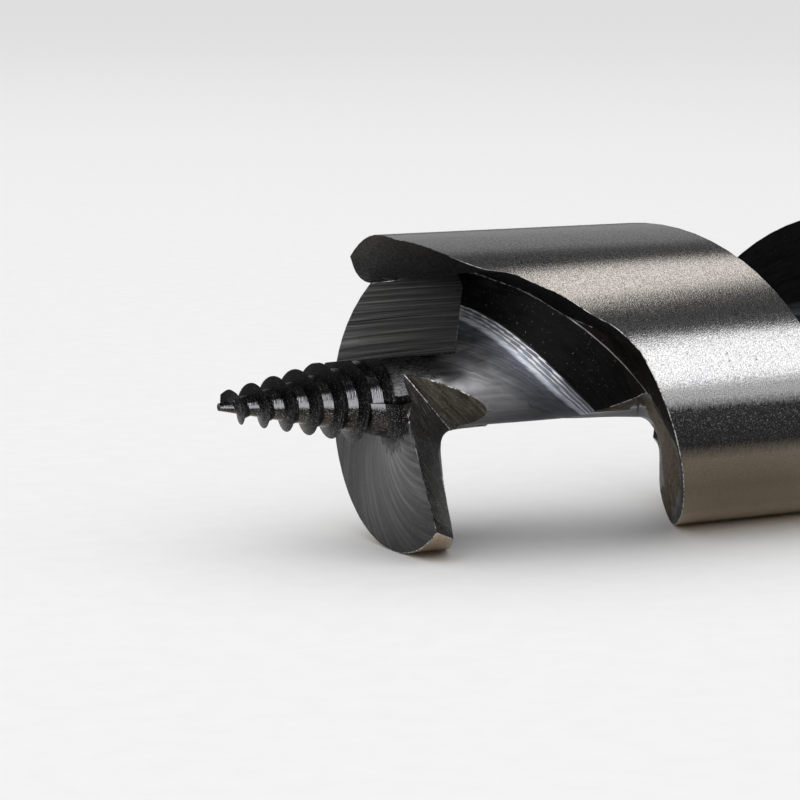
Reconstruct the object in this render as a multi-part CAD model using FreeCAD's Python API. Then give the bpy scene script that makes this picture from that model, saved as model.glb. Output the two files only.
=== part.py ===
import FreeCAD, Part
import math
import os

# Auger drill bit for wood: lead screw, one lip, one spur, a single wide flight on a thin core, a round
# neck and a hexagon end, all one piece of steel. Millimetres. While it is shaped, the axis is X, the
# screw points to -X, X = 0 is near the lip, +Z is up and +Y is the far side. Angles round the axis
# start at the top and grow towards -Y, so the flight is a right-hand helix.

# Flight
cut_diameter = 30.0
core_diameter = 7.2
flight_pitch = 45.7
land_start = 9.25
land_width = 19.75
wall_root_radius = 1.5
back_wall_lean = 2.1
flight_length = 132.0
shoulder_length = 20.0
core_flare_length = 32.0

# Lip: its relief is a slow helix, and the gash in front of it has two flat faces
lip_front = -0.45
lip_angle = 142.0
relief_pitch = 8.9
relief_dish = 0.6
relief_end_angle = 292.0
relief_lead_in = 48.0
collar_outline = ((2.6, 3.4), (1.3, 4.0), (0.55, 4.7), (-0.15, 5.6), (-1.0, 6.4))
collar_back = 3.0
rake_direction = (0.557, -0.763, 0.329)
rake_offset = 2.9
gash_direction = (-0.242, -0.795, -0.557)
gash_offset = 1.35
gash_length = 14.0

# Spur: a tongue of the land ahead of the flight, ground from below across the axis. Each row is (place
# along the axis, height above the axis, rise towards the far side per mm)
spur_underside = (
    (-1.8, 14.5, -0.149),
    (0.3, 13.8, -0.149),
    (1.2, 13.2, -0.149),
    (2.3, 12.3, -0.149),
    (3.5, 11.5, -0.149),
    (4.7, 10.9, -0.14),
    (6.4, 10.62, -0.11),
    (7.9, 10.68, -0.05),
    (9.2, 10.85, 0.0),
    (11.0, 10.05, 0.0),
    (12.5, 9.2, 0.0),
    (14.2, 7.6, -0.03),
    (15.8, 5.65, -0.1),
    (17.2, 3.7, -0.149),
    (20.0, 0.3, -0.149),
)
spur_tip = -1.05
spur_tip_sweep = 0.2
spur_join = 17.4
spur_join_sweep = 0.15

# Facet ground across the front of the flight below the spur, twisted so that its far side is steeper
facet_start = 3.82
facet_sweep = 0.083
facet_lean = 0.43
facet_twist = 0.0187
facet_floor = 3.45
facet_floor_tilt = 0.149

# Window milled from below between the back of the lip and the next wall. Rows are (depth below its
# roof, place along the axis, sweep towards the tail per mm of far side)
window_roof = 3.8
lip_side_tilt = 0.14
wall_side_tilt = 0.3
lip_side_rows = (
    (0.0, 8.0, 0.5),
    (0.08, 6.7, 0.5),
    (0.4, 5.8, 0.5),
    (1.05, 5.35, 0.5),
    (2.7, 5.26, 0.5),
    (4.8, 5.4, 0.5),
    (8.2, 5.89, 0.5),
    (10.9, 6.17, 0.5),
    (15.0, 6.6, 0.5),
)
wall_side_rows = (
    (0.0, 28.27, 0.706),
    (0.45, 29.75, 0.69),
    (1.2, 30.5, 0.72),
    (2.0, 31.0, 0.717),
    (3.0, 31.35, 0.697),
    (4.8, 31.85, 0.648),
    (7.0, 32.1, 0.606),
    (9.4, 32.4, 0.59),
    (15.0, 32.5, 0.58),
)

# Lead screw and the hub that carries it
screw_length = 17.7
thread_pitch = 2.34
thread_depth = 0.95
thread_front_lean = 0.6
thread_back_lean = 1.35
thread_back_hollow = 0.35
thread_turns = 6.5
thread_end = -2.15
thread_end_angle = 130.0
thread_fade_turns = 0.3
thread_fade_depth = 0.1
thread_sink = 0.25
tip_root_radius = 0.35
hub_front = -1.3
hub_diameter = 7.7
hub_taper_start = 1.0
hub_taper_end = 9.0
hub_sink = 0.1

# Shank
overall_length = 235.0
neck_diameter = 13.0
hex_across_flats = 11.0
hex_length = 28.0
end_rounding = 1.5

# Fineness of the drawn curves
wall_steps = 8
root_steps = 4
relief_steps = 12
thread_steps = 12

margin = 3.0
reach = 2 * cut_diameter
radius = cut_diameter / 2
core_radius = core_diameter / 2
neck_radius = neck_diameter / 2
hub_radius = hub_diameter / 2
wall_radius = radius - core_radius
tip_x = lip_front - screw_length
end_x = tip_x + overall_length
flight_end = flight_length + shoulder_length
half_turn = flight_pitch / 2
ORIGIN = FreeCAD.Vector(0, 0, 0)
X_AXIS = FreeCAD.Vector(1, 0, 0)


def polar(x, r, angle):
    a = math.radians(angle)
    return FreeCAD.Vector(x, -r * math.sin(a), r * math.cos(a))


def turn_at(x, start, pitch):
    return (x - start) * 360.0 / pitch


def turned(points):
    """Solid of revolution from (x, r) points that start and end on the axis."""
    corners = [FreeCAD.Vector(x, 0, r) for x, r in points]
    return Part.Face(closed(corners)).revolve(ORIGIN, X_AXIS, 360)


def turned_arc(before, through, after):
    """Solid of revolution whose outline has one arc, between the last point before and the first after."""
    a, b, c = [[FreeCAD.Vector(x, 0, r) for x, r in group] for group in (before, (through,), after)]
    lines = [Part.makeLine(p, q) for p, q in zip(a, a[1:])]
    rest = [Part.makeLine(p, q) for p, q in zip(c, c[1:] + a[:1])]
    outline = Part.Wire(lines + [Part.Arc(a[-1], b[0], c[0]).toShape()] + rest)
    return Part.Face(outline).revolve(ORIGIN, X_AXIS, 360)


def closed(corners):
    return Part.makePolygon(corners + corners[:1])


def smooth_edge(points):
    curve = Part.BSplineCurve()
    curve.interpolate(points)
    return curve.toShape()


def beyond_plane(direction, offset):
    """Block that fills the outer side of a plane, offset mm from the origin along its direction."""
    normal = FreeCAD.Vector(*direction)
    normal.normalize()
    side = normal.cross(X_AXIS)
    side.normalize()
    rise = normal.cross(side)
    centre = normal * offset
    signs = ((-1, -1), (1, -1), (1, 1), (-1, 1))
    corners = [centre + side * u * reach + rise * v * reach for u, v in signs]
    return Part.Face(closed(corners)).extrude(normal * reach)


def block(low, high):
    size = [b - a for a, b in zip(low, high)]
    return Part.makeBox(*size, FreeCAD.Vector(*low))


def blank():
    """Round bar with a conical shoulder down to the neck, before anything is cut."""
    return turned([
        (spur_tip, 0),
        (spur_tip, radius),
        (flight_length, radius),
        (flight_end, neck_radius),
        (flight_end, 0),
    ])


def flute_section(x):
    """Open channel at one place: hollow front wall, core, back wall with a small root radius."""
    lead = turn_at(x, land_start, flight_pitch)
    trail = turn_at(x, land_start + land_width, flight_pitch) + 360.0
    front = []
    for step in range(wall_steps + 1):
        bow = math.radians(90.0 * step / wall_steps)
        ahead = turn_at(wall_radius * (1 - math.cos(bow)), 0, flight_pitch)
        front.append(polar(x, radius - wall_radius * math.sin(bow), lead + ahead))
    back = []
    for step in range(root_steps + 1):
        bow = math.radians(90.0 * step / root_steps)
        behind = turn_at(back_wall_lean + wall_root_radius * (1 - math.sin(bow)), 0, flight_pitch)
        back.append(polar(x, core_radius + wall_root_radius * (1 - math.cos(bow)), trail - behind))
    front_foot = lead + turn_at(wall_radius, 0, flight_pitch)
    back_foot = trail - turn_at(back_wall_lean + wall_root_radius, 0, flight_pitch)
    front_out = polar(x, radius + margin, lead)
    back_out = polar(x, radius + margin, trail)
    return Part.Wire([
        Part.makeLine(front_out, front[0]),
        smooth_edge(front),
        Part.Arc(front[-1], polar(x, core_radius, (front_foot + back_foot) / 2), back[0]).toShape(),
        smooth_edge(back),
        Part.makeLine(back[-1], back_out),
        Part.Arc(back_out, polar(x, radius + margin, (lead + trail) / 2), front_out).toShape(),
    ])


def flute_length(x0, x1):
    """One twisted stretch of the channel."""
    start = FreeCAD.Vector(x0, 0, 0)
    guide = Part.makeLongHelix(flight_pitch, x1 - x0, radius, 0, False)
    guide.rotate(ORIGIN, FreeCAD.Vector(0, 1, 0), 90)
    guide.translate(start)
    sweep = Part.BRepOffsetAPI.MakePipeShell(Part.Wire(Part.makeLine(start, FreeCAD.Vector(x1, 0, 0))))
    sweep.setAuxiliarySpine(guide, True, 0)
    sweep.add(flute_section(x0))
    sweep.build()
    sweep.makeSolid()
    return sweep.shape()


def across(y, rows, last):
    """Smooth line in the plane Y = y through (along, height, rise) rows, closed by the given corners."""
    line = [FreeCAD.Vector(x, y, height + rise * y) for x, height, rise in rows]
    corners = [FreeCAD.Vector(x, y, z) for x, z in last]
    ends = [line[-1]] + corners + [line[0]]
    sides = [Part.makeLine(a, b) for a, b in zip(ends, ends[1:])]
    return Part.Wire([smooth_edge(line)] + sides)


def spur_keep():
    """Everything above the ground underside, which the cuts at the front leave standing."""
    top = radius + 2 * margin
    side = radius + margin
    upper = ((spur_underside[-1][0], top), (spur_underside[0][0], top))
    keep = Part.makeLoft([across(y, spur_underside, upper) for y in (-side, side)], True, False)
    join = beyond_plane((1, spur_join_sweep, 0), spur_join / math.hypot(1, spur_join_sweep))
    tip = beyond_plane((-1, spur_tip_sweep, 0), -spur_tip / math.hypot(1, spur_tip_sweep))
    return keep.cut(join).cut(tip)


def facet_cut(keep):
    """Space in front of the ground facet and above its floor."""
    side = radius + margin
    sections = []
    for y in (-side, side):
        foot = facet_start - facet_sweep * y
        top = foot + (facet_lean - facet_twist * y) * side
        outline = ((foot, 0), (top, side), (tip_x, side), (tip_x, 0))
        sections.append(closed([FreeCAD.Vector(x, y, z) for x, z in outline]))
    above = beyond_plane((0, facet_floor_tilt, 1), facet_floor / math.hypot(1, facet_floor_tilt))
    return Part.makeLoft(sections, True, False).common(above).cut(keep)


def window_side(y, rows, tilt):
    roof = -window_roof - tilt * y
    return [FreeCAD.Vector(along + sweep * y, y, roof - depth) for depth, along, sweep in rows]


def window_section(y):
    """Outline of the window in the plane Y = y: lip side, floor, wall side and roof."""
    lip_side = window_side(y, lip_side_rows, lip_side_tilt)
    wall_side = window_side(y, wall_side_rows, wall_side_tilt)
    return Part.Wire([
        smooth_edge(lip_side),
        Part.makeLine(lip_side[-1], wall_side[-1]),
        smooth_edge(wall_side[::-1]),
        Part.makeLine(wall_side[0], lip_side[0]),
    ])


def window_cut():
    return Part.makeLoft([window_section(-radius - margin), window_section(radius + margin)], True, False)


def relief_loft(outline):
    """Solid swept along the slow helix of the relief face, from (behind the face, radius) corners."""
    start = lip_angle - relief_lead_in
    sections = []
    for step in range(relief_steps + 1):
        angle = start + (relief_end_angle - start) * step / relief_steps
        x = lip_front + relief_pitch * (angle - lip_angle) / 360.0
        sections.append(closed([polar(x + behind, r, angle) for behind, r in outline]))
    return Part.makeLoft(sections, True, False)


def relief_cut():
    """Space in front of the disc, whose face backs away from the lip and is slightly dished."""
    ahead = tip_x - margin
    return relief_loft([
        (0, radius + margin),
        (-relief_dish, core_radius / 2),
        (ahead, core_radius / 2),
        (ahead, radius + margin),
    ])


def collar():
    """Rough shoulder that carries the root of the screw out onto the disc."""
    front = [(-ahead, r) for ahead, r in collar_outline]
    back = [(collar_back, front[-1][1]), (collar_back, core_radius / 2)]
    return relief_loft(front + back + [(front[0][0], core_radius / 2)])


def gash_cut():
    """Notch in front of the lip: the rake face and the flat that runs out on the core."""
    rake = beyond_plane(rake_direction, rake_offset)
    flat = beyond_plane(gash_direction, gash_offset)
    near_end = (thread_end - thread_front_lean, -reach, -reach)
    far_end = (gash_length, core_radius, core_radius + margin)
    return rake.common(flat).common(block(near_end, far_end))


def root_radius_at(x):
    return tip_root_radius + (hub_radius - tip_root_radius) * (x - tip_x) / (hub_front - tip_x)


def hub_and_root():
    """Plain body of the lead screw and the hub that tapers into the core."""
    return turned([
        (tip_x, 0),
        (tip_x, tip_root_radius),
        (hub_front, hub_radius),
        (hub_taper_start, hub_radius),
        (hub_taper_end, core_radius - hub_sink),
        (hub_taper_end, 0),
    ])


def thread():
    """Sharp wood-screw thread whose crest leans back from the tip and fades out at the hub."""
    steps = int(thread_turns * thread_steps)
    sections = []
    for step in range(steps + 1):
        before_end = thread_turns * (1 - step / steps)
        angle = thread_end_angle - 360.0 * before_end
        x = thread_end - thread_pitch * before_end
        front = x - thread_front_lean
        back = x + thread_back_lean
        depth = thread_depth * min(1.0, thread_fade_depth + before_end / thread_fade_turns)
        hollow = x + thread_back_hollow
        sections.append(closed([
            polar(x, root_radius_at(x) + depth, angle),
            polar(front, root_radius_at(front) - thread_sink, angle),
            polar(back, root_radius_at(back) - thread_sink, angle),
            polar(hollow, root_radius_at(hollow) + thread_back_hollow * depth, angle),
        ]))
    return Part.makeLoft(sections, True, False)


def shank():
    """Round neck with a flared start inside the last turn, rounded down onto the hexagon end."""
    round_end = end_x - hex_length
    flare_x = flight_end - core_flare_length
    corner_radius = hex_across_flats / math.sqrt(3)
    slope = math.radians(45)
    body = turned_arc(
        (
            (flare_x, 0),
            (flare_x, core_radius - hub_sink),
            (flight_end, neck_radius),
            (round_end, neck_radius),
        ),
        (round_end + neck_radius * math.cos(slope), neck_radius * math.sin(slope)),
        ((round_end + neck_radius, 0),),
    )
    corners = [polar(round_end, corner_radius, 60.0 * i + 30.0) for i in range(6)]
    bar = Part.Face(closed(corners)).extrude(FreeCAD.Vector(hex_length, 0, 0))
    end_radius = corner_radius - end_rounding
    ball_radius = corner_radius + end_rounding / 2
    ball_x = end_x - math.sqrt(ball_radius**2 - end_radius**2)
    middle = (math.asin(end_radius / ball_radius) + math.pi / 2) / 2
    rounding = turned_arc(
        ((round_end - margin, 0), (round_end - margin, ball_radius), (ball_x, ball_radius)),
        (ball_x + ball_radius * math.cos(middle), ball_radius * math.sin(middle)),
        ((end_x, end_radius), (end_x, 0)),
    )
    return body.fuse(bar.common(rounding))


def auger_bit():
    keep = spur_keep()
    body = blank()
    x = spur_tip - margin
    body = body.cut(flute_length(x, x + half_turn).cut(keep))
    while x + half_turn < flight_end + margin:
        x += half_turn
        body = body.cut(flute_length(x, x + half_turn))
    body = body.cut(window_cut())
    body = body.cut(relief_cut())
    body = body.fuse(hub_and_root()).fuse(collar()).fuse(thread())
    body = body.cut(facet_cut(keep)).cut(gash_cut())
    body = body.fuse(shank())
    body.translate(FreeCAD.Vector(-(tip_x + end_x) / 2, 0, radius))
    return body


os.makedirs("parts", exist_ok=True)
auger_bit().exportStep("parts/auger_bit.step")
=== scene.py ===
import math

import bpy
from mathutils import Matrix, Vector


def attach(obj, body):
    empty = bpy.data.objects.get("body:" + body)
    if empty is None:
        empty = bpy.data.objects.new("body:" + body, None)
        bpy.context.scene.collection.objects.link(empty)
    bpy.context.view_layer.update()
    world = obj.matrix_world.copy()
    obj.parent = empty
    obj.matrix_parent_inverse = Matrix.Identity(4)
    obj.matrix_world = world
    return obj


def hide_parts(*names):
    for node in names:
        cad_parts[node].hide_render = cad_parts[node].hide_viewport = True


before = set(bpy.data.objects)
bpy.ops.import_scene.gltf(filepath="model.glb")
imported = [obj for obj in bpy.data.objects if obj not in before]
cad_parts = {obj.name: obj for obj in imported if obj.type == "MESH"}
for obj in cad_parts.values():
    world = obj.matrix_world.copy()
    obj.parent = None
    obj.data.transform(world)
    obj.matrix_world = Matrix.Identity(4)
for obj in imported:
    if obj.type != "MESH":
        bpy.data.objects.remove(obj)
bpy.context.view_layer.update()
scene = bpy.context.scene

# The bit is one bar of tool steel: forged and twisted, its flute milled, its edge turned and ground,
# its head cut back by hand. The skin below is that one body, and each cut has its own finish on it.
bpy.ops.object.select_all(action="DESELECT")
bit = bpy.data.objects.new("auger_bit_steel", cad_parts["auger_bit"].data.copy())
scene.collection.objects.link(bit)
bit.select_set(True)
bpy.context.view_layer.objects.active = bit
bpy.ops.mesh.customdata_custom_splitnormals_clear()
bpy.ops.object.mode_set(mode="EDIT")
bpy.ops.mesh.select_all(action="SELECT")
bpy.ops.mesh.remove_doubles(threshold=2e-6)
bpy.ops.object.mode_set(mode="OBJECT")
bpy.ops.object.shade_smooth_by_angle(angle=math.radians(28))
bit.data.materials.clear()

# Places on the bit are in millimetres from the middle of its cutting end, which lies here in the frame.
head_end = 99.35
axis_height = 15.0


def add_part(tree, kind, inputs=(), **settings):
    """One node in a finish: inputs pairs a socket with a plain value or with another node's output."""
    made = tree.nodes.new(kind)
    for name, value in settings.items():
        setattr(made, name, value)
    for socket, value in inputs:
        if isinstance(value, bpy.types.NodeSocket):
            tree.links.new(value, made.inputs[socket])
        else:
            made.inputs[socket].default_value = value
    return made


def add_math(tree, operation, first, second=0.0):
    """The result of one sum on two values or outputs."""
    return add_part(tree, "ShaderNodeMath", ((0, first), (1, second)), operation=operation).outputs[0]


def times(tree, first, second):
    """The product of two values or outputs."""
    return add_math(tree, "MULTIPLY", first, second)


def plus(tree, first, second):
    """The sum of two values or outputs."""
    return add_math(tree, "ADD", first, second)


def add_vector(tree, operation, first, second=None):
    """The result of one sum on one or two vectors, or on a vector and the number that scales it."""
    inputs = [(0, first)]
    if second is not None:
        inputs.append(("Scale" if operation == "SCALE" else 1, second))
    made = add_part(tree, "ShaderNodeVectorMath", inputs, operation=operation)
    return made.outputs["Value" if operation in ("LENGTH", "DOT_PRODUCT") else "Vector"]


def place_in_mm(tree, centre=None):
    """The place of the surface in millimetres, from the object's centre or from another one."""
    place = add_part(tree, "ShaderNodeTexCoord").outputs["Object"]
    if centre is not None:
        place = add_vector(tree, "SUBTRACT", place, centre)
    return add_vector(tree, "SCALE", place, 1000.0)


def new_effect(name, inputs, outputs):
    """A group of nodes with named number or vector inputs and number outputs; gives its tree and ends."""
    tree = bpy.data.node_groups.new(name, "ShaderNodeTree")
    for label, start in inputs:
        kind = "NodeSocketVector" if isinstance(start, tuple) else "NodeSocketFloat"
        tree.interface.new_socket(label, in_out="INPUT", socket_type=kind).default_value = start
    for label in outputs:
        tree.interface.new_socket(label, in_out="OUTPUT", socket_type="NodeSocketFloat")
    return tree, tree.nodes.new("NodeGroupInput").outputs, tree.nodes.new("NodeGroupOutput").inputs


# Marks of a cutter that ran round the axis: in the flute they follow the twist at one distance out,
# on the land they run round the bit. Both are the same lines, cut into the bar while it turned.
turned, given, made = new_effect(
    "turned_marks",
    (
        ("Centre", (0.0, 0.0, 0.0)), ("Per radius", 6.0), ("Per length", 0.0),
        ("Round", 3.0), ("Break up", 2.0),
    ),
    ("Marks", "Radius", "Height mm", "Length mm"),
)
place = place_in_mm(turned, given["Centre"])
parts = add_part(turned, "ShaderNodeSeparateXYZ", ((0, place),)).outputs
spoke = add_part(turned, "ShaderNodeCombineXYZ", ((1, parts[1]), (2, parts[2]))).outputs[0]
radius = add_vector(turned, "LENGTH", spoke)
spoke = add_vector(turned, "NORMALIZE", spoke)
spoke = add_vector(turned, "SCALE", spoke, given["Round"])
across = times(turned, radius, given["Per radius"])
across = plus(turned, across, times(turned, parts[0], given["Per length"]))
across = add_part(turned, "ShaderNodeCombineXYZ", ((0, across),)).outputs[0]
field = add_vector(turned, "ADD", spoke, across)
noise = add_part(turned, "ShaderNodeTexNoise", (
    ("Vector", field), ("Scale", 1.0), ("Detail", given["Break up"]), ("Roughness", 0.6),
))
turned.links.new(noise.outputs[0], made["Marks"])
turned.links.new(radius, made["Radius"])
turned.links.new(parts[2], made["Height mm"])
turned.links.new(parts[0], made["Length mm"])

# Marks of a wheel that was swung out from the middle of a face: they fan out from a centre and curl. The
# relief behind the lip is ground this way.
fan, given, made = new_effect(
    "fan_marks",
    (("Centre", (0.0, 0.0, 0.0)), ("Lines", 9.0), ("Curl", 0.06), ("Per radius", 0.12)),
    ("Marks", "Radius"),
)
place = add_vector(fan, "MULTIPLY", place_in_mm(fan, given["Centre"]), (0.0, 1.0, 1.0))
radius = add_vector(fan, "LENGTH", place)
spoke = add_vector(fan, "NORMALIZE", place)
curl = times(fan, radius, given["Curl"])
curled = (("Vector", spoke), ("Angle", curl))
spoke = add_part(fan, "ShaderNodeVectorRotate", curled, rotation_type="X_AXIS").outputs[0]
spoke = add_vector(fan, "SCALE", spoke, given["Lines"])
across = add_part(fan, "ShaderNodeCombineXYZ", ((0, times(fan, radius, given["Per radius"])),)).outputs[0]
field = add_vector(fan, "ADD", spoke, across)
noise = add_part(fan, "ShaderNodeTexNoise", (
    ("Vector", field), ("Scale", 1.0), ("Detail", 4.0), ("Roughness", 0.65),
))
fan.links.new(noise.outputs[0], made["Marks"])
fan.links.new(radius, made["Radius"])

# Marks of a wheel or a file that went straight across a face: long thin lines that lie one way, closer
# across than along.
straight, given, made = new_effect(
    "straight_marks",
    (("Face", (0.0, 0.0, 1.0)), ("Lay", (1.0, 0.0, 0.0)), ("Per width", 8.0), ("Per length", 0.3)),
    ("Marks",),
)
place = place_in_mm(straight)
side = add_vector(straight, "CROSS_PRODUCT", given["Face"], given["Lay"])
side = add_vector(straight, "NORMALIZE", side)
across = add_vector(straight, "DOT_PRODUCT", place, side)
along = add_vector(straight, "DOT_PRODUCT", place, given["Lay"])
field = add_part(straight, "ShaderNodeCombineXYZ", (
    (0, times(straight, across, given["Per width"])),
    (1, times(straight, along, given["Per length"])),
)).outputs[0]
noise = add_part(straight, "ShaderNodeTexNoise", (
    ("Vector", field), ("Scale", 1.0), ("Detail", 4.0), ("Roughness", 0.6),
))
straight.links.new(noise.outputs[0], made["Marks"])

# Specks: fine grit, dust and small torn spots that catch the light on every worked face of the bit. The
# grain under them is the same cloud before its tops are cut off as dots.
specks, given, made = new_effect(
    "specks", (("Per mm", 9.0), ("From", 0.66), ("To", 0.74)), ("Specks", "Grain"),
)
place = place_in_mm(specks)
noise = add_part(specks, "ShaderNodeTexNoise", (
    ("Vector", place), ("Scale", given["Per mm"]), ("Detail", 1.0),
))
dots = add_part(specks, "ShaderNodeMapRange", (
    ("Value", noise.outputs[0]), ("From Min", given["From"]), ("From Max", given["To"]),
))
specks.links.new(dots.outputs[0], made["Specks"])
specks.links.new(noise.outputs[0], made["Grain"])

axis = (0.0, 0.0, axis_height / 1000)


def use(tree, effect, inputs=()):
    """One of the effects placed in a finish."""
    made = tree.nodes.new("ShaderNodeGroup")
    made.node_tree = effect
    for socket, value in inputs:
        made.inputs[socket].default_value = value
    return made.outputs


def shade(tree, value, stops):
    """A colour for each value, from (place, red, green, blue) stops."""
    ramp = add_part(tree, "ShaderNodeValToRGB", ((0, value),))
    steps = ramp.color_ramp.elements
    while len(steps) < len(stops):
        steps.new(0.5)
    for step, stop in zip(steps, stops):
        step.position = stop[0]
        step.color = (*stop[1:], 1)
    return ramp.outputs[0]


def spread(tree, value, low, high, start=0.0, end=1.0):
    """A value moved from the range low to high into the range start to end."""
    ends = ((0, value), (1, low), (2, high), (3, start), (4, end))
    return add_part(tree, "ShaderNodeMapRange", ends).outputs[0]


def mixed(tree, share, first, second, way="MIX"):
    """Two colours mixed by a share, plainly or in another way such as a product."""
    colours = ((0, share), (6, first), (7, second))
    return add_part(tree, "ShaderNodeMix", colours, data_type="RGBA", blend_type=way).outputs[2]


def toned(tree, colour, strength):
    """A colour made lighter or darker by a strength that changes over the surface."""
    return mixed(tree, 1.0, colour, strength, "MULTIPLY")


def new_finish(name, metal=1.0, rough=0.35):
    """A bare steel finish, added to the bit; gives its node tree and its shader."""
    material = bpy.data.materials.new(name)
    material.use_nodes = True
    shader = material.node_tree.nodes["Principled BSDF"]
    shader.inputs["Metallic"].default_value = metal
    shader.inputs["Roughness"].default_value = rough
    bit.data.materials.append(material)
    return material.node_tree, shader


def set_look(tree, shader, colour, rough, height, depth):
    """Joins colour, roughness and relief, depth in metres, to a finish."""
    bump = add_part(tree, "ShaderNodeBump", (("Height", height), ("Distance", depth), ("Strength", 1.0)))
    tree.links.new(colour, shader.inputs["Base Color"])
    tree.links.new(rough, shader.inputs["Roughness"])
    tree.links.new(bump.outputs[0], shader.inputs["Normal"])


# The land is the outer edge of the twist, ground to size round the axis: bright steel with short strokes
# and grit. Lower down its colour is painted by height: a near-black band of painted dark reflection, then
# a painted warm brown reflection, made lighter still near the bottom against the floor's shadow.
tree, shader = new_finish("land")
marks = use(tree, turned, (("Centre", axis), ("Per radius", 0.0), ("Per length", 7.0), ("Round", 16.0)))
grit = use(tree, specks, (("Per mm", 8.0), ("From", 0.58), ("To", 0.7)))
pits = use(tree, specks, (("Per mm", 2.6), ("From", 0.72), ("To", 0.76)))
level = plus(tree, marks["Height mm"], times(tree, marks["Marks"], 1.2))
# Painted reflection and shade by height: steel on top, a near-black band, warm brown below, lighter at the
# bottom.
painted_reflection_bands = shade(tree, spread(tree, level, -15.0, 2.0), (
    (0.035, 0.9, 0.74, 0.55), (0.2, 0.3, 0.24, 0.17), (0.353, 0.19, 0.15, 0.105),
    (0.53, 0.18, 0.15, 0.115), (0.62, 0.022, 0.021, 0.021), (0.83, 0.028, 0.028, 0.03),
    (0.895, 0.36, 0.36, 0.365),
))
# Grit and grain fade out over the painted bands below.
clear = spread(tree, marks["Height mm"], -6.0, -3.0, 0.3, 1.0)
grain = times(tree, clear, spread(tree, grit["Grain"], 0.3, 0.7, -0.45, 0.4))
colour = toned(tree, painted_reflection_bands, plus(tree, grain, 1.0))
spots = times(tree, clear, times(tree, grit["Specks"], 0.25))
colour = mixed(tree, spots, colour, (0.5, 0.49, 0.48, 1))
colour = mixed(tree, times(tree, pits["Specks"], 0.7), colour, (0.05, 0.05, 0.05, 1))
rough = spread(tree, marks["Marks"], 0.3, 0.7, 0.14, 0.22)
height = plus(tree, marks["Marks"], grit["Grain"])
set_look(tree, shader, colour, rough, height, 0.000007)

# The flute is milled along the twist: a blue-grey floor next to the core, a comb of bright lines where the
# cutter's corner ran, then the wall that climbs to the land, painted near black as shade, with one scribed
# line near its top. Towards the cutting end the whole flute is painted lighter.
bands_from = 3.0
comb_inner = 5.1
comb_outer = 6.45
comb_level = 17.3
comb_climb = 0.019
comb_waves = 19.0
bands_to = 15.1
scribed_radius = 10.65
scribed_lowest = 12.2
scribed_bend = 0.033
head = (-head_end / 1000, 0.0, axis_height / 1000)
tree, shader = new_finish("flute")
shader.inputs["Specular Tint"].default_value = (0.6, 0.6, 0.6, 1)
marks = use(tree, turned, (("Centre", head), ("Per radius", 7.0), ("Round", 1.2), ("Break up", 0.0)))
cloud = use(tree, turned, (("Centre", axis), ("Per radius", 1.3), ("Round", 6.0), ("Break up", 6.0)))
fine = use(tree, turned, (("Centre", axis), ("Per radius", 12.0), ("Round", 1.5), ("Break up", 2.0)))
dust = use(tree, specks, (("Per mm", 5.0), ("From", 0.7), ("To", 0.78)))
wobbly = plus(tree, marks["Radius"], times(tree, cloud["Marks"], 0.16))
lifted = add_math(tree, "MAXIMUM", add_math(tree, "SUBTRACT", comb_level, marks["Length mm"]), 0.0)
lifted = times(tree, times(tree, lifted, lifted), comb_climb)
wobbly = add_math(tree, "SUBTRACT", wobbly, lifted)
# Outward of the comb the wall is painted near black as shade.
base = shade(tree, spread(tree, wobbly, bands_from, bands_to), (
    (0.0, 0.11, 0.11, 0.115), (0.07, 0.085, 0.088, 0.098), (0.15, 0.11, 0.115, 0.138),
    (0.175, 0.6, 0.64, 0.73), (0.2, 0.26, 0.275, 0.31), (0.26, 0.15, 0.156, 0.18),
    (0.285, 0.01, 0.01, 0.01), (0.68, 0.012, 0.011, 0.011), (0.72, 0.02, 0.017, 0.015),
    (1.0, 0.022, 0.018, 0.016),
))
near_head = spread(tree, marks["Length mm"], 34.0, 27.0)
comb = plus(tree, times(tree, wobbly, comb_waves), times(tree, marks["Marks"], 5.0))
comb = spread(tree, add_math(tree, "SINE", comb), 0.1, 0.8)
in_comb = spread(tree, wobbly, comb_inner, comb_inner + 0.2)
in_comb = times(tree, in_comb, spread(tree, wobbly, comb_outer, comb_outer - 0.15))
in_comb = times(tree, in_comb, near_head)
base = mixed(tree, near_head, mixed(tree, 0.5, base, (0.06, 0.06, 0.062, 1)), base)
colour = mixed(tree, times(tree, in_comb, comb), base, (0.7, 0.73, 0.82, 1))
# Painted light: the flute is made up to 1.8 times lighter towards the cutting end.
painted_light_near_head = spread(tree, marks["Length mm"], 16.0, 7.0, 1.0, 1.8)
colour = toned(tree, colour, painted_light_near_head)
streak = spread(tree, cloud["Marks"], 0.3, 0.7, 0.7, 1.3)
colour = toned(tree, colour, streak)
streak = spread(tree, fine["Marks"], 0.3, 0.7, 0.7, 1.35)
colour = toned(tree, colour, streak)
scribed = add_math(tree, "SUBTRACT", marks["Length mm"], scribed_lowest)
scribed = times(tree, times(tree, scribed, scribed), scribed_bend)
scribed = add_math(tree, "SUBTRACT", add_math(tree, "SUBTRACT", marks["Radius"], scribed), scribed_radius)
scribed = spread(tree, add_math(tree, "ABSOLUTE", scribed), 0.08, 0.03)
scribed = times(tree, scribed, spread(tree, cloud["Marks"], 0.4, 0.6, 0.2, 0.9))
scribed = times(tree, scribed, spread(tree, marks["Length mm"], 22.0, 20.0))
colour = mixed(tree, scribed, colour, (0.6, 0.6, 0.62, 1))
colour = mixed(tree, times(tree, dust["Specks"], 0.3), colour, (0.4, 0.42, 0.45, 1))
rough = spread(tree, cloud["Marks"], 0.3, 0.7, 0.3, 0.5)
set_look(tree, shader, colour, rough, fine["Marks"], 0.00002)
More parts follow.
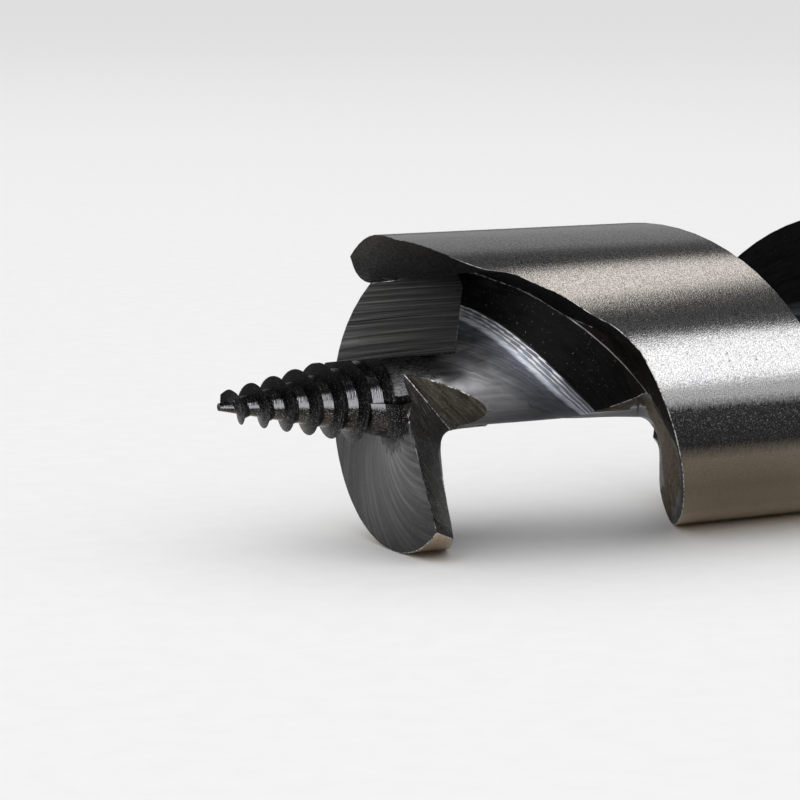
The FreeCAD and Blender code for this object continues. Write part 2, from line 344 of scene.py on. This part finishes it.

# The spur's underside faces down and is painted near black as shade, with hardly any shine. Towards its
# point a dull brown reflection is painted over it.
tree, shader = new_finish("spur", metal=0.0)
shader.inputs["Specular IOR Level"].default_value = 0.05
dust = use(tree, specks, (("Per mm", 3.0), ("From", 0.6), ("To", 0.75)))
lines = use(tree, straight, (
    ("Face", (0.0, 0.15, -1.0)), ("Lay", (1.0, -0.2, 0.0)), ("Per width", 2.5), ("Per length", 0.4),
))
# Painted shade: the downward face is near black.
colour = shade(tree, lines["Marks"], (
    (0.3, 0.003, 0.003, 0.003), (0.6, 0.007, 0.006, 0.006), (0.75, 0.03, 0.025, 0.022),
))
painted_brown_reflection = use(tree, turned, (("Centre", head),))
# Painted reflection: dull brown mixed in towards the point.
colour = mixed(tree, spread(tree, painted_brown_reflection["Length mm"], 2.0, -4.0, 0.0, 0.6), colour, (0.075, 0.062, 0.05, 1))
rough = spread(tree, dust["Grain"], 0.3, 0.7, 0.4, 0.65)
set_look(tree, shader, colour, rough, dust["Grain"], 0.00006)

# The front of the spur was cut back by a wheel to a slightly twisted face: dark grey, with fine level
# lines across it.
tree, shader = new_finish("front")
lines = use(tree, straight, (
    ("Face", (-0.87, -0.2, 0.45)), ("Lay", (0.276, -0.955, 0.109)), ("Per width", 5.0),
    ("Per length", 0.04),
))
dust = use(tree, specks, (("Per mm", 6.0), ("From", 0.6), ("To", 0.7)))
colour = shade(tree, lines["Marks"], (
    (0.32, 0.08, 0.08, 0.08), (0.5, 0.2, 0.2, 0.198), (0.68, 0.42, 0.42, 0.41),
))
colour = mixed(tree, times(tree, dust["Specks"], 0.15), colour, (0.4, 0.4, 0.4, 1))
rough = spread(tree, lines["Marks"], 0.3, 0.7, 0.25, 0.42)
set_look(tree, shader, colour, rough, lines["Marks"], 0.00002)

# The relief behind the cutting lip is ground in arcs that sweep out from the root of the screw, where a
# ring of the rough forging is left.
forge_black = (0.008, 0.007, 0.007, 1)
crumb_grey = (0.3, 0.29, 0.28, 1)
tree, shader = new_finish("relief")
arcs = use(tree, fan, (("Centre", axis), ("Lines", 11.0), ("Curl", 0.1), ("Per radius", 0.12)))
dust = use(tree, specks, (("Per mm", 5.0), ("From", 0.66), ("To", 0.74)))
lumps = use(tree, specks, (("Per mm", 1.1),))
crumbs = use(tree, specks, (("Per mm", 7.0), ("From", 0.6), ("To", 0.68)))
colour = shade(tree, arcs["Marks"], (
    (0.34, 0.025, 0.025, 0.026), (0.5, 0.06, 0.06, 0.061), (0.66, 0.17, 0.17, 0.172),
))
fade = spread(tree, arcs["Radius"], 5.0, 15.0, 1.25, 0.6)
colour = toned(tree, colour, fade)
colour = mixed(tree, times(tree, dust["Specks"], 0.3), colour, (0.3, 0.3, 0.3, 1))
raw = plus(tree, arcs["Radius"], times(tree, lumps["Grain"], 1.5))
raw = spread(tree, raw, 6.5, 6.1)
scale = mixed(tree, times(tree, crumbs["Specks"], 0.5), forge_black, crumb_grey)
colour = mixed(tree, raw, colour, scale)
rough = spread(tree, arcs["Marks"], 0.3, 0.7, 0.28, 0.48)
height = times(tree, raw, times(tree, crumbs["Grain"], 3.0))
set_look(tree, shader, colour, rough, plus(tree, arcs["Marks"], height), 0.00003)

# The collar round the screw's root is left rough from the forge: black, lumpy and with crumbs of
# bright grit.
tree, shader = new_finish("collar", rough=0.6)
crumbs = use(tree, specks, (("Per mm", 7.0), ("From", 0.6), ("To", 0.68)))
lumps = use(tree, specks, (("Per mm", 1.3),))
colour = mixed(tree, times(tree, crumbs["Specks"], 0.5), forge_black, crumb_grey)
rough = spread(tree, lumps["Grain"], 0.3, 0.7, 0.4, 0.7)
height = plus(tree, crumbs["Grain"], lumps["Grain"])
set_look(tree, shader, colour, rough, height, 0.00012)

# The hub between thread and head is turned to a plain grey skin. Fine rings run round it, with dust
# caught in them.
tree, shader = new_finish("hub")
rings = use(tree, turned, (
    ("Centre", axis), ("Per radius", 2.0), ("Per length", 2.0), ("Round", 30.0), ("Break up", 5.0),
))
dust = use(tree, specks, (("Per mm", 7.0), ("From", 0.58), ("To", 0.66)))
colour = shade(tree, rings["Marks"], (
    (0.35, 0.06, 0.06, 0.063), (0.5, 0.13, 0.13, 0.137), (0.65, 0.3, 0.3, 0.31),
))
colour = mixed(tree, times(tree, dust["Specks"], 0.5), colour, (0.4, 0.4, 0.4, 1))
rough = spread(tree, rings["Marks"], 0.3, 0.7, 0.35, 0.55)
set_look(tree, shader, colour, rough, rings["Marks"], 0.00003)

# The lip's rake face is filed flat on the side that lifts the chip. Scratches run across it, and it is
# worn bright in spots.
rake_plane = Vector((0.557, -0.763, 0.329))
rake_offset = 2.9
tree, shader = new_finish("rake")
lines = use(tree, straight, (
    ("Face", rake_plane), ("Lay", (0.553, 0.045, -0.832)), ("Per width", 5.0), ("Per length", 0.5),
))
dust = use(tree, specks, (("Per mm", 4.5), ("From", 0.62), ("To", 0.7)))
colour = shade(tree, lines["Marks"], (
    (0.35, 0.05, 0.05, 0.049), (0.52, 0.115, 0.113, 0.11), (0.7, 0.3, 0.295, 0.29),
))
colour = mixed(tree, times(tree, dust["Specks"], 0.7), colour, (0.45, 0.44, 0.42, 1))
rough = spread(tree, lines["Marks"], 0.3, 0.7, 0.3, 0.5)
set_look(tree, shader, colour, rough, lines["Marks"], 0.00004)

# The gash opens the lip where it meets the core. It faces down and is painted brown as a reflection from
# below, with the slanting streaks of the file.
gash_plane = Vector((-0.242, -0.795, -0.557))
gash_offset = 1.35
tree, shader = new_finish("gash")
lines = use(tree, straight, (
    ("Face", gash_plane), ("Lay", (0.768, 0.194, -0.611)), ("Per width", 3.5), ("Per length", 0.25),
))
dust = use(tree, specks, (("Per mm", 5.0), ("From", 0.6), ("To", 0.7)))
# Painted reflection: the brown of the downward-facing facet.
colour = shade(tree, lines["Marks"], (
    (0.3, 0.035, 0.03, 0.024), (0.5, 0.08, 0.07, 0.056), (0.7, 0.16, 0.142, 0.115),
))
colour = mixed(tree, times(tree, dust["Specks"], 0.3), colour, (0.3, 0.28, 0.25, 1))
rough = spread(tree, lines["Marks"], 0.3, 0.7, 0.32, 0.5)
set_look(tree, shader, colour, rough, lines["Marks"], 0.00003)

# The outside of the lip is a short stretch of the same ground skin as the land, painted brown as a warm
# reflection from below.
tree, shader = new_finish("lip_land")
marks = use(tree, turned, (("Centre", axis), ("Per radius", 0.0), ("Per length", 7.0), ("Round", 14.0)))
# Painted reflection: warm brown on the lower stretch of the lip.
colour = shade(tree, marks["Marks"], ((0.3, 0.33, 0.25, 0.17), (0.7, 0.6, 0.47, 0.33)))
rough = spread(tree, marks["Marks"], 0.3, 0.7, 0.3, 0.42)
set_look(tree, shader, colour, rough, marks["Marks"], 0.00002)

# The window between lip and wall is the throat that chips leave by: roughly milled, with brown scale
# left in it.
tree, shader = new_finish("window")
shader.inputs["Specular Tint"].default_value = (0.55, 0.5, 0.44, 1)
scale = use(tree, specks, (("Per mm", 1.6), ("From", 0.5), ("To", 0.7)))
fine = use(tree, specks, (("Per mm", 6.0),))
colour = shade(tree, scale["Grain"], (
    (0.3, 0.012, 0.01, 0.008), (0.5, 0.045, 0.035, 0.027), (0.7, 0.14, 0.12, 0.1),
))
rough = spread(tree, fine["Grain"], 0.3, 0.7, 0.4, 0.6)
height = plus(tree, scale["Grain"], times(tree, fine["Grain"], 0.4))
set_look(tree, shader, colour, rough, height, 0.00012)

# The lead screw is turned and chased: dark steel with rings from the tool. Its colour is painted by how
# far
# up its side a face lies: a painted highlight band along the side, painted dark above and dark brown
# below.
tree, shader = new_finish("screw")
rings = use(tree, turned, (
    ("Centre", axis), ("Per radius", 2.0), ("Per length", 9.0), ("Round", 1.0), ("Break up", 1.0),
))
dust = use(tree, specks, (("Per mm", 9.0), ("From", 0.6), ("To", 0.68)))
# Painted highlight and shade: the colour follows the face's height on the screw.
side = add_math(tree, "DIVIDE", rings["Height mm"], rings["Radius"])
side = plus(tree, side, times(tree, dust["Grain"], 0.2))
colour = shade(tree, spread(tree, side, -1.0, 1.0), (
    (0.2, 0.06, 0.05, 0.042), (0.42, 0.02, 0.02, 0.02), (0.48, 0.4, 0.4, 0.43),
    (0.69, 0.36, 0.36, 0.39), (0.74, 0.05, 0.05, 0.05), (1.0, 0.04, 0.04, 0.04),
))
lines = spread(tree, rings["Marks"], 0.3, 0.7, 0.75, 1.25)
colour = toned(tree, colour, lines)
colour = mixed(tree, times(tree, dust["Specks"], 0.6), colour, (0.5, 0.5, 0.49, 1))
rough = spread(tree, rings["Marks"], 0.3, 0.7, 0.16, 0.3)
set_look(tree, shader, colour, rough, rings["Marks"], 0.00003)

# The flanks of its thread are painted black as shade, painted greyer on top where light falls, and specked
# with grit.
tree, shader = new_finish("screw_front", rough=0.45)
rings = use(tree, turned, (("Centre", axis), ("Per radius", 5.0), ("Round", 1.0), ("Break up", 1.0)))
dust = use(tree, specks, (("Per mm", 8.0), ("From", 0.6), ("To", 0.68)))
side = add_math(tree, "DIVIDE", rings["Height mm"], rings["Radius"])
colour = shade(tree, rings["Marks"], ((0.35, 0.008, 0.008, 0.008), (0.7, 0.035, 0.034, 0.033)))
# Painted light: the tops of the flanks are lightened.
colour = mixed(tree, spread(tree, side, 0.55, 0.95, 0.0, 0.6), colour, (0.16, 0.16, 0.165, 1))
colour = mixed(tree, times(tree, dust["Specks"], 0.5), colour, (0.4, 0.4, 0.4, 1))
tree.links.new(colour, shader.inputs["Base Color"])

# The shank is turned down to the neck and its hexagon is milled: plain dark steel with fine rings and a
# slightly uneven shine.
tree, shader = new_finish("shank")
rings = use(tree, turned, (
    ("Centre", axis), ("Per radius", 0.0), ("Per length", 5.0), ("Round", 2.0), ("Break up", 3.0),
))
grit = use(tree, specks, (("Per mm", 3.0), ("From", 0.55), ("To", 0.75)))
colour = shade(tree, rings["Marks"], ((0.3, 0.08, 0.08, 0.08), (0.7, 0.17, 0.165, 0.16)))
rough = spread(tree, grit["Grain"], 0.3, 0.7, 0.28, 0.45)
set_look(tree, shader, colour, rough, rings["Marks"], 0.00002)

# The wire edge is bare steel that the wheel has turned over, on the rim of every ground or milled face:
# bright, and broken by nicks.
tree, shader = new_finish("bright_edge", rough=0.3)
nicks = use(tree, specks, (("Per mm", 3.0), ("From", 0.35), ("To", 0.6)))
colour = shade(tree, nicks["Grain"], ((0.38, 0.1, 0.1, 0.1), (0.58, 0.75, 0.75, 0.75)))
tree.links.new(colour, shader.inputs["Base Color"])

# The limits of each cut on the body, so that every face of it gets its own finish. Lengths run along the
# axis from the cutting end, and turns run in degrees from the top towards the side that the camera is on.
land_radius = 15.0
flight_pitch = 45.7
land_start = 9.25
wall_arc = 11.4
shoulder_start = 131.5
shoulder_end = 151.5
thread_radius = 4.8
hub_back = 3.0
hub_front = -1.3
last_root = -2.3
collar_radius = 5.6
collar_inner = 3.0
front_start = 3.82
front_sweep = 0.083
front_lean = 0.43
front_twist = 0.0187
spur_tilt = 0.149
spur_level = 3.3
spur_end = 21.0
lip_land_turns = (135, 170)
relief_turns = (85, 300)
lip_turn = 142.0
relief_start = -0.45
relief_pitch = 8.9
relief_reach = 18.0
relief_width = 16.2
relief_dish = 0.6
lip_end = 6.0
plane_slack = 0.15
wall_slack = 0.35
window_start = 3.0
window_end = 36.0
window_turns = (90, 205)


def cut_face(place, facing, plane, offset):
    """True where a face lies on a plane cut, given by its direction and its distance from the centre."""
    return abs(plane.dot(place) - offset) < plane_slack and facing.dot(plane) > 0.97


def zone_of(place, facing):
    """The finish on a face: place in millimetres from the middle of the cutting end, facing its normal."""
    spoke = Vector((0, place.y, place.z))
    out = spoke.length
    facing_out = facing.dot(spoke.normalized()) if out > 0.01 else 0
    turn = math.degrees(math.atan2(-place.y, place.z)) % 360
    if place.x > shoulder_end or (place.x > shoulder_start and facing.x > 0.3 and facing_out > 0.8):
        return "shank"
    if out > land_radius - 0.15 and facing_out > 0.97:
        at_lip = place.x < lip_end and lip_land_turns[0] < turn < lip_land_turns[1]
        return "lip_land" if at_lip else "land"
    on_flank = facing.x < -0.45 or facing.x > 0.15 or abs(facing_out) < 0.2
    if place.x < hub_front and out < thread_radius and on_flank:
        return "screw_front"
    if place.x < last_root and out < thread_radius:
        return "screw"
    hollow = wall_arc - math.sqrt(max(0, wall_arc**2 - (land_radius - out) ** 2))
    off_wall = place.x - land_start - flight_pitch * turn / 360 + hollow
    off_wall = (off_wall + flight_pitch / 2) % flight_pitch - flight_pitch / 2
    if abs(off_wall) < wall_slack and out > 4.5 and facing.x < 0.2:
        return "flute"
    if cut_face(place, facing, rake_plane, rake_offset):
        return "rake"
    if cut_face(place, facing, gash_plane, gash_offset):
        return "gash"
    wheel_cut = front_start - front_sweep * place.y
    wheel_cut += (front_lean - front_twist * place.y) * place.z
    if place.z > 1.5 and abs(place.x - wheel_cut) < 0.2 and facing.x < -0.7:
        return "front"
    above_front = place.z + spur_tilt * place.y > spur_level and place.z > 0
    if place.x < lip_end and place.z > 8.5:
        return "spur"
    if place.x < spur_end and above_front and facing.z < -0.15:
        return "spur"
    relief = relief_start + relief_pitch * (turn - lip_turn) / 360
    relief -= relief_dish * (relief_reach - out) / relief_width
    under_lip = relief_turns[0] < turn < relief_turns[1]
    if under_lip and abs(place.x - relief) < wall_slack and facing.x < -0.5:
        return "relief"
    if under_lip and collar_inner < out < collar_radius and place.x < relief + 0.5:
        return "collar"
    if place.x < hub_back and out < thread_radius:
        return "hub" if place.z > 0.3 else "collar"
    on_core = facing_out > 0.6 and out < collar_radius
    below = place.z < -0.8 and window_turns[0] < turn < window_turns[1]
    if window_start < place.x < window_end and below and not on_core:
        return "window"
    return "flute"


names = [material.name for material in bit.data.materials]
for face in bit.data.polygons:
    place = face.center * 1000 + Vector((head_end, 0, -axis_height))
    face.material_index = names.index(zone_of(place, face.normal))

# The wheel leaves a thin bright burr along every sharp edge, but none on the turned ends and the thread.
# It is a narrow bevel on those edges, 0.06 mm wide.
wire_width = 0.06
sharp_angle = math.radians(38)
beside = {}
for face in bit.data.polygons:
    for edge in face.edge_keys:
        beside.setdefault(edge, []).append(face)
plain = {names.index(name) for name in ("screw", "screw_front", "collar", "hub", "shank")}
weights = bit.data.attributes.new("bevel_weight_edge", "FLOAT", "EDGE")
for edge in bit.data.edges:
    faces = beside[edge.key]
    if len(faces) != 2 or plain & {face.material_index for face in faces}:
        continue
    if all(names[face.material_index] == "spur" for face in faces):
        continue
    ends = [bit.data.vertices[corner].co * 1000 for corner in edge.vertices]
    middle = (ends[0] + ends[1]) / 2 + Vector((head_end, 0, -axis_height))
    if middle.x < 2 and math.hypot(middle.y, middle.z) < collar_radius:
        continue
    if faces[0].normal.angle(faces[1].normal, 0) > sharp_angle:
        weights.data[edge.index].value = 1.0
bevel = bit.modifiers.new("wire_edge", "BEVEL")
bevel.width = wire_width / 1000
bevel.segments = 1
bevel.limit_method = "WEIGHT"
bevel.use_clamp_overlap = False
bevel.material = names.index("bright_edge")
bpy.ops.object.modifier_apply(modifier=bevel.name)
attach(bit, "root")
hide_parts("auger_bit")

# Camera: in front of the cutting end and to one side of it, a little above the axis, with a long lens
# that looks past the lead screw along the twist.
camera = bpy.data.objects.new("camera", bpy.data.cameras.new("camera"))
scene.collection.objects.link(camera)
camera.location = (-0.25489, -0.25937, 0.05341)
camera.rotation_euler = Vector((0.51275, 0.84898, -0.12775)).to_track_quat("-Z", "Y").to_euler()
camera.data.sensor_width = 36.0
camera.data.lens = 146.25
camera.data.clip_start = 0.01
scene.camera = camera

# Lamps: a soft high sun and sky that whiten the floor, a broad window beside the bit, a narrow warm strip
# above it and a weak broad lamp behind, so that the round land shows white, dark, warm and grey in turn.
sun = bpy.data.objects.new("high_sun", bpy.data.lights.new("high_sun", "SUN"))
sun.data.energy = 2.7
sun.data.angle = math.radians(130)
sun.visible_glossy = False
sun.rotation_euler = Vector((0.15, 0.1, -1)).to_track_quat("-Z", "Y").to_euler()
scene.collection.objects.link(sun)
lit_spot = Vector((-0.07, 0, 0.015))


def soft_lamp(name, direction, distance, size, brightness, colour=(1, 1, 1)):
    """A soft lamp that faces the bit's head; brightness is what its face shows in a mirror."""
    lamp = bpy.data.objects.new(name, bpy.data.lights.new(name, "AREA"))
    way = Vector(direction).normalized()
    lamp.data.shape = "RECTANGLE"
    lamp.data.size, lamp.data.size_y = size
    lamp.data.energy = brightness * math.pi * size[0] * size[1]
    lamp.data.color = colour
    lamp.location = lit_spot + way * distance
    lamp.rotation_euler = (-way).to_track_quat("-Z", "Y").to_euler()
    lamp.visible_camera = False
    lamp.visible_diffuse = False
    scene.collection.objects.link(lamp)


soft_lamp("window", (0.52, -0.80, 0.235), 0.9, (0.6, 0.44), 2.5)
soft_lamp("warm_strip", (0.51, -0.21, 0.83), 0.9, (0.7, 0.19), 1.7, (1.0, 0.92, 0.83))
soft_lamp("far_lamp", (0.5, 0.65, 0.42), 0.9, (0.9, 0.6), 0.3)
sky = bpy.data.objects.new("soft_sky", bpy.data.lights.new("soft_sky", "AREA"))
sky.data.size = 3.0
sky.data.energy = 0.3 * math.pi * sky.data.size**2
sky.location = (-0.9, -0.1, 1.2)
sky.visible_glossy = False
sky.visible_camera = False
scene.collection.objects.link(sky)
world = bpy.data.worlds.new("studio_air")
world.use_nodes = True
world.node_tree.nodes["Background"].inputs["Color"].default_value = (0.1, 0.1, 0.1, 1)
scene.world = world

# Floor: a wide sheet of plain pale paper, on which the bit lies. It has a faint fibre and runs out of
# sight, so no edge or wall shows.
bpy.ops.object.select_all(action="DESELECT")
bpy.ops.mesh.primitive_plane_add(size=60.0, location=(0, 0, 0))
floor = bpy.context.object
floor.name = "paper_floor"
paper = bpy.data.materials.new("paper")
paper.use_nodes = True
tree = paper.node_tree
shader = tree.nodes["Principled BSDF"]
shader.inputs["Roughness"].default_value = 0.9
shader.inputs["Specular IOR Level"].default_value = 0.1
place = add_part(tree, "ShaderNodeTexCoord").outputs["Object"]
fibre = add_part(tree, "ShaderNodeTexNoise", (("Vector", place), ("Scale", 300.0))).outputs[0]
colour = shade(tree, fibre, ((0.3, 0.8, 0.8, 0.8), (0.7, 0.82, 0.82, 0.82)))
tree.links.new(colour, shader.inputs["Base Color"])
floor.data.materials.append(paper)

scene.view_settings.view_transform = "Standard"
